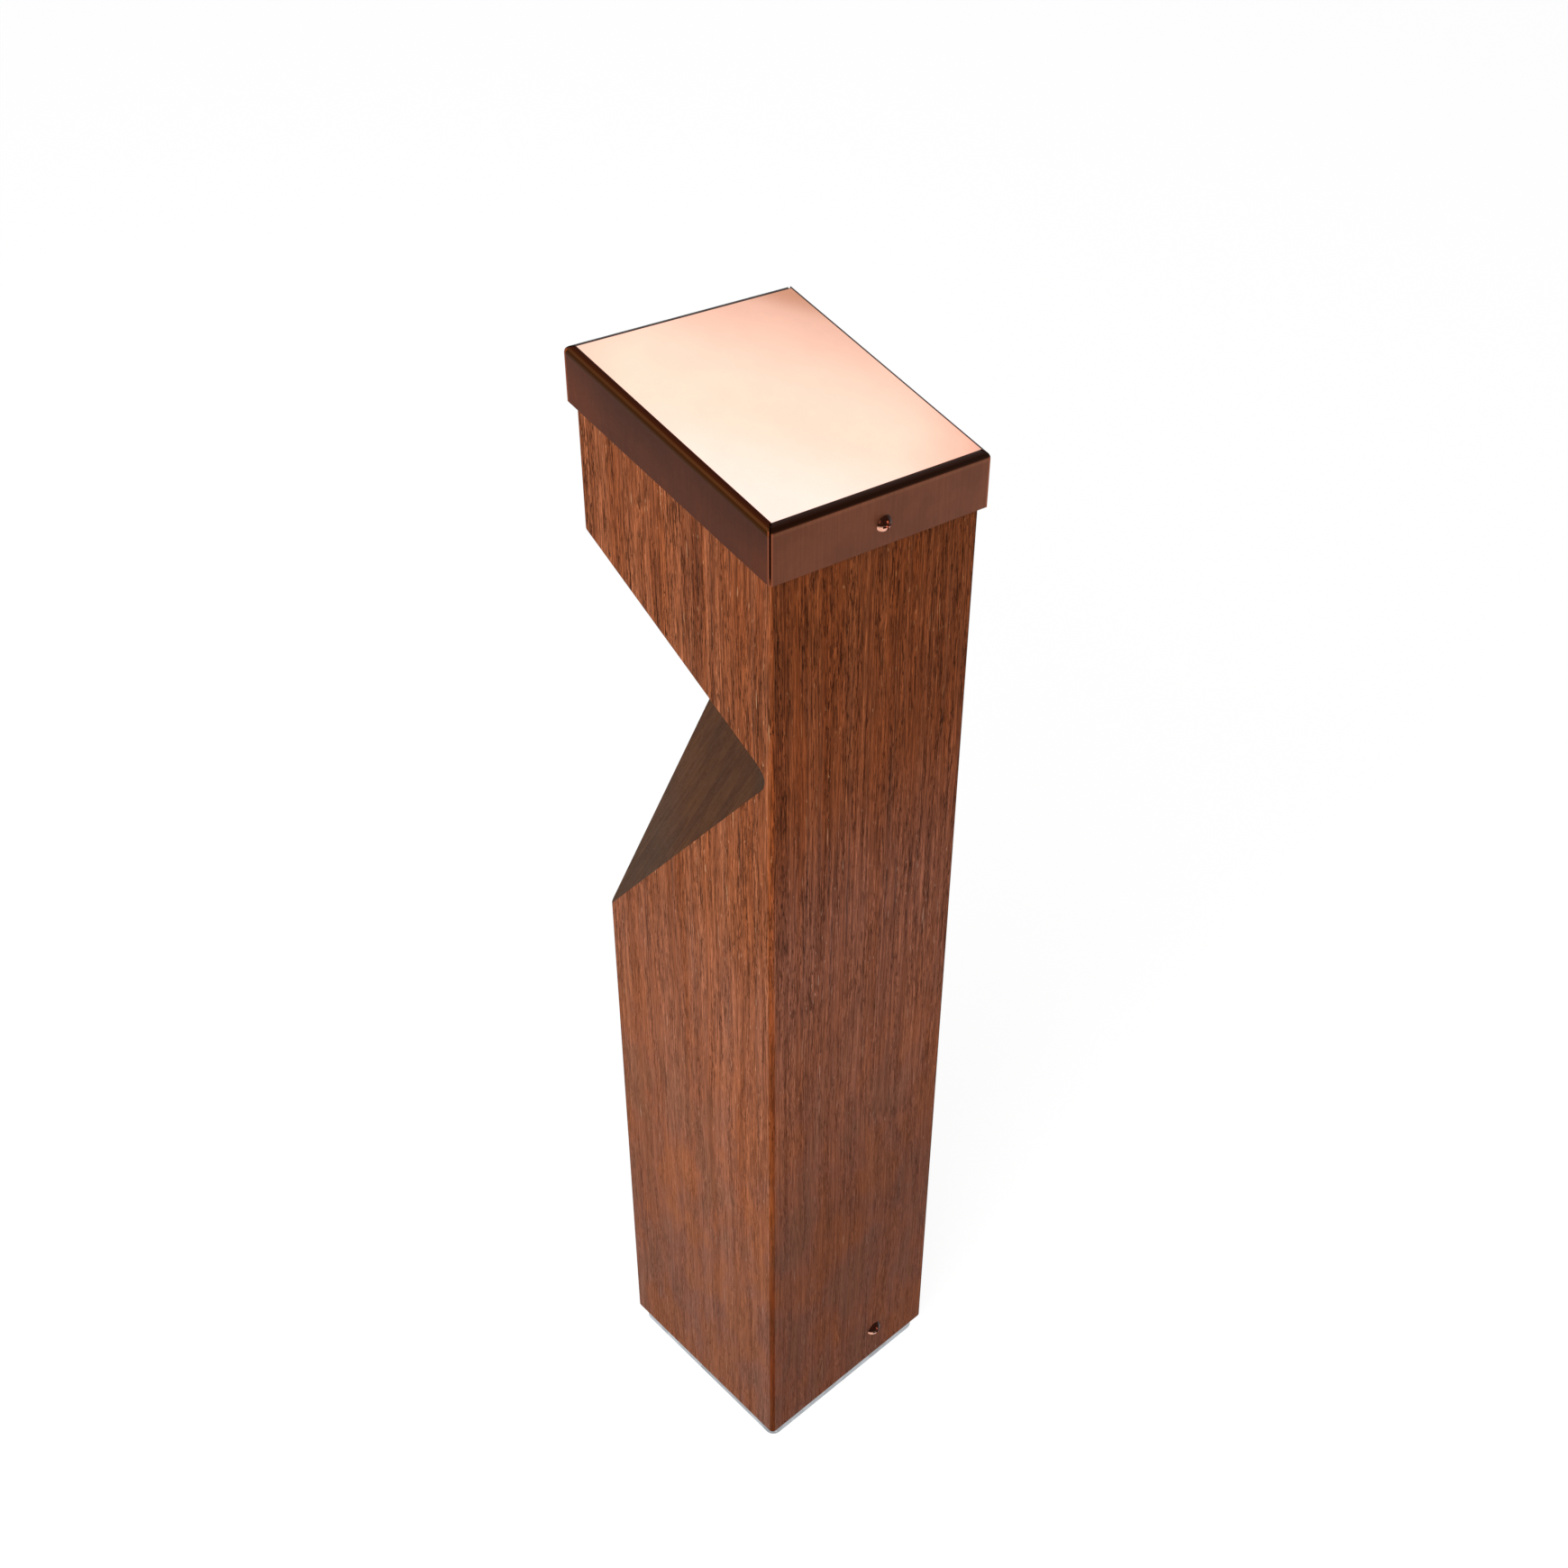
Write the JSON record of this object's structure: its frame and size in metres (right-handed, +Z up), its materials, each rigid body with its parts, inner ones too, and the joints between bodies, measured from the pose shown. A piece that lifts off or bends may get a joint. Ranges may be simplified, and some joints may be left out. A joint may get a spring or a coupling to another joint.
{
  "type": "pillar light",
  "caption": "Square hardwood garden pillar light with a slanted folded copper cap, lit in a notch cut across one corner, on a concealed ground plate with a spigot.",
  "frame": {"origin": "on the ground under the middle of the square post, in the underside of the ground plate", "axes": "+Z up the post; the faces of the post are square to X and Y; the notch opens towards +X and -Y"},
  "size_m": [0.0953, 0.0953, 0.5171],
  "materials": {
    "hardwood": "oiled, straight fine grain",
    "copper": "polished copper sheet, lightly hazed",
    "lamp_copper": "turned copper, brushed",
    "bronze_screws": "copper-plated",
    "black_rubber": "closed-cell, matt",
    "grommet_rubber": "moulded, satin",
    "clear_silicone": "translucent silicone",
    "dark_anodised": "black anodised",
    "stainless": "bright",
    "grey_pad": "matt gap pad",
    "circuit_board": "white solder mask",
    "phosphor": "yellow phosphor under clear resin",
    "bright_reflector": "vapour-plated",
    "clear_glass": "toughened, clear",
    "nickel_brass": "nickel-plated brass, satin",
    "cable_jacket": "silicone jacket",
    "driver_case": "potted case",
    "wire_insulation": "insulation",
    "terminal_plastic": "polyamide",
    "terminal_brass": "bright",
    "galvanised_steel": "hot-dip galvanised",
    "weld_metal": "galvanised weld"
  },
  "bodies": {
    "root": {"timber_post": "hardwood", "copper_cap": "copper", "cap_gasket": "black_rubber", "cap_screws": "bronze_screws", "lamp_housing": "dark_anodised", "flange_seal": "black_rubber", "lamp_screws": "stainless", "thermal_pad": "grey_pad", "led_board": "circuit_board", "led_emitter": "phosphor", "board_screws": "stainless", "reflector": "bright_reflector", "glass_seal": "clear_silicone", "front_glass": "clear_glass", "front_ring": "lamp_copper", "ring_screws": "bronze_screws", "gland_body": "nickel_brass", "gland_seal": "black_rubber", "gland_nut": "nickel_brass", "lamp_lead": "cable_jacket", "led_driver": "driver_case", "driver_pad": "grey_pad", "link_wires": "wire_insulation", "terminal_block": "terminal_plastic", "terminal_screws": "terminal_brass", "ground_plate": "galvanised_steel", "spigot_tube": "galvanised_steel", "spigot_weld": "weld_metal", "foot_gasket": "black_rubber", "cable_grommet": "grommet_rubber", "lock_screws": "bronze_screws"}
  },
  "joints": []
}
